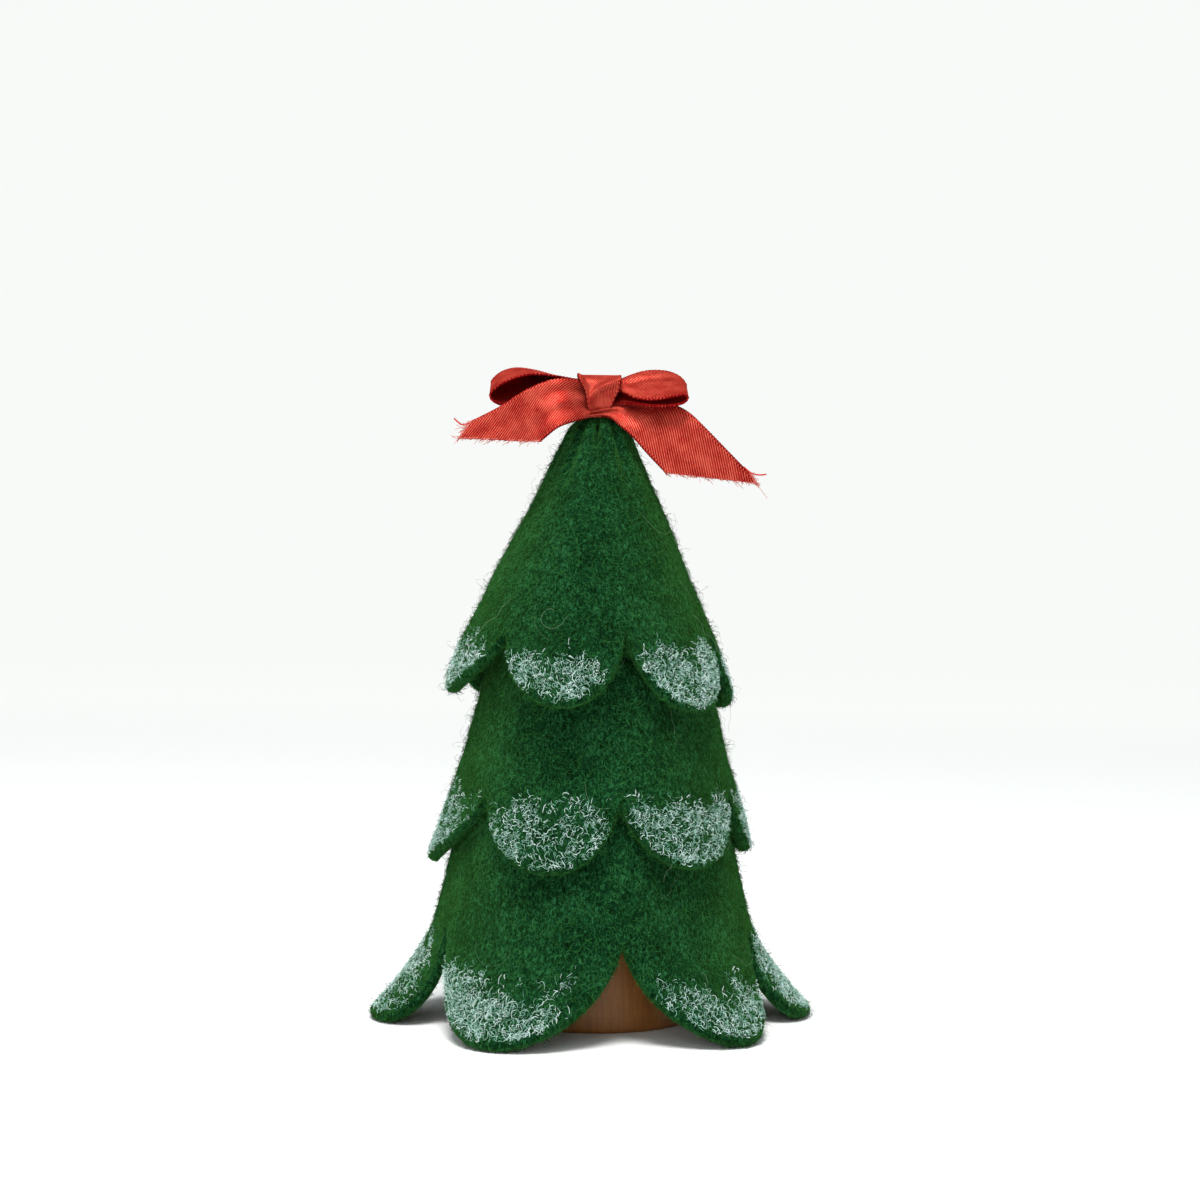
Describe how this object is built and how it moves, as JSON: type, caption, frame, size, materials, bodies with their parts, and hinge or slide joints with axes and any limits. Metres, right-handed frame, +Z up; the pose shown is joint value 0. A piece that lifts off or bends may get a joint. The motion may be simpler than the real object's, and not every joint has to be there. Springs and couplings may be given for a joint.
{
  "type": "felt christmas tree ornament",
  "caption": "Small free-standing felt Christmas tree: scalloped felt tiers with white wool snow round a turned wooden body, with a satin ribbon bow on the tip.",
  "frame": {"origin": "middle of the wooden foot's flat underside, on the surface that the tree stands on", "axes": "+Z up the tree towards the bow, -Y towards the viewer of the picture, +X to the viewer's right"},
  "size_m": [0.0785, 0.0732, 0.1158],
  "materials": {
    "wood": "brown stain, satin",
    "felt": "deep green wool felt with a fuzzy surface",
    "snow_wool": "loose white wool fibres needled into the felt",
    "ribbon": "red satin ribbon with picot edges",
    "thread": "dark green sewing thread"
  },
  "bodies": {
    "root": {"wooden_body": "wood", "felt_tier_bottom": "felt", "felt_tier_middle": "felt", "felt_tier_top": "felt", "snow_tuft_bottom_1": "snow_wool", "snow_tuft_bottom_2": "snow_wool", "snow_tuft_bottom_3": "snow_wool", "snow_tuft_bottom_4": "snow_wool", "snow_tuft_bottom_5": "snow_wool", "snow_tuft_bottom_6": "snow_wool", "snow_tuft_middle_1": "snow_wool", "snow_tuft_middle_2": "snow_wool", "snow_tuft_middle_3": "snow_wool", "snow_tuft_middle_4": "snow_wool", "snow_tuft_middle_5": "snow_wool", "snow_tuft_middle_6": "snow_wool", "snow_tuft_top_1": "snow_wool", "snow_tuft_top_2": "snow_wool", "snow_tuft_top_3": "snow_wool", "snow_tuft_top_4": "snow_wool", "snow_tuft_top_5": "snow_wool", "snow_tuft_top_6": "snow_wool", "seam_thread_bottom": "thread", "seam_thread_middle": "thread", "seam_thread_top": "thread", "bow_knot": "ribbon", "bow_loop_left": "ribbon", "bow_loop_right": "ribbon", "bow_tail_left": "ribbon", "bow_tail_right": "ribbon"}
  },
  "joints": []
}
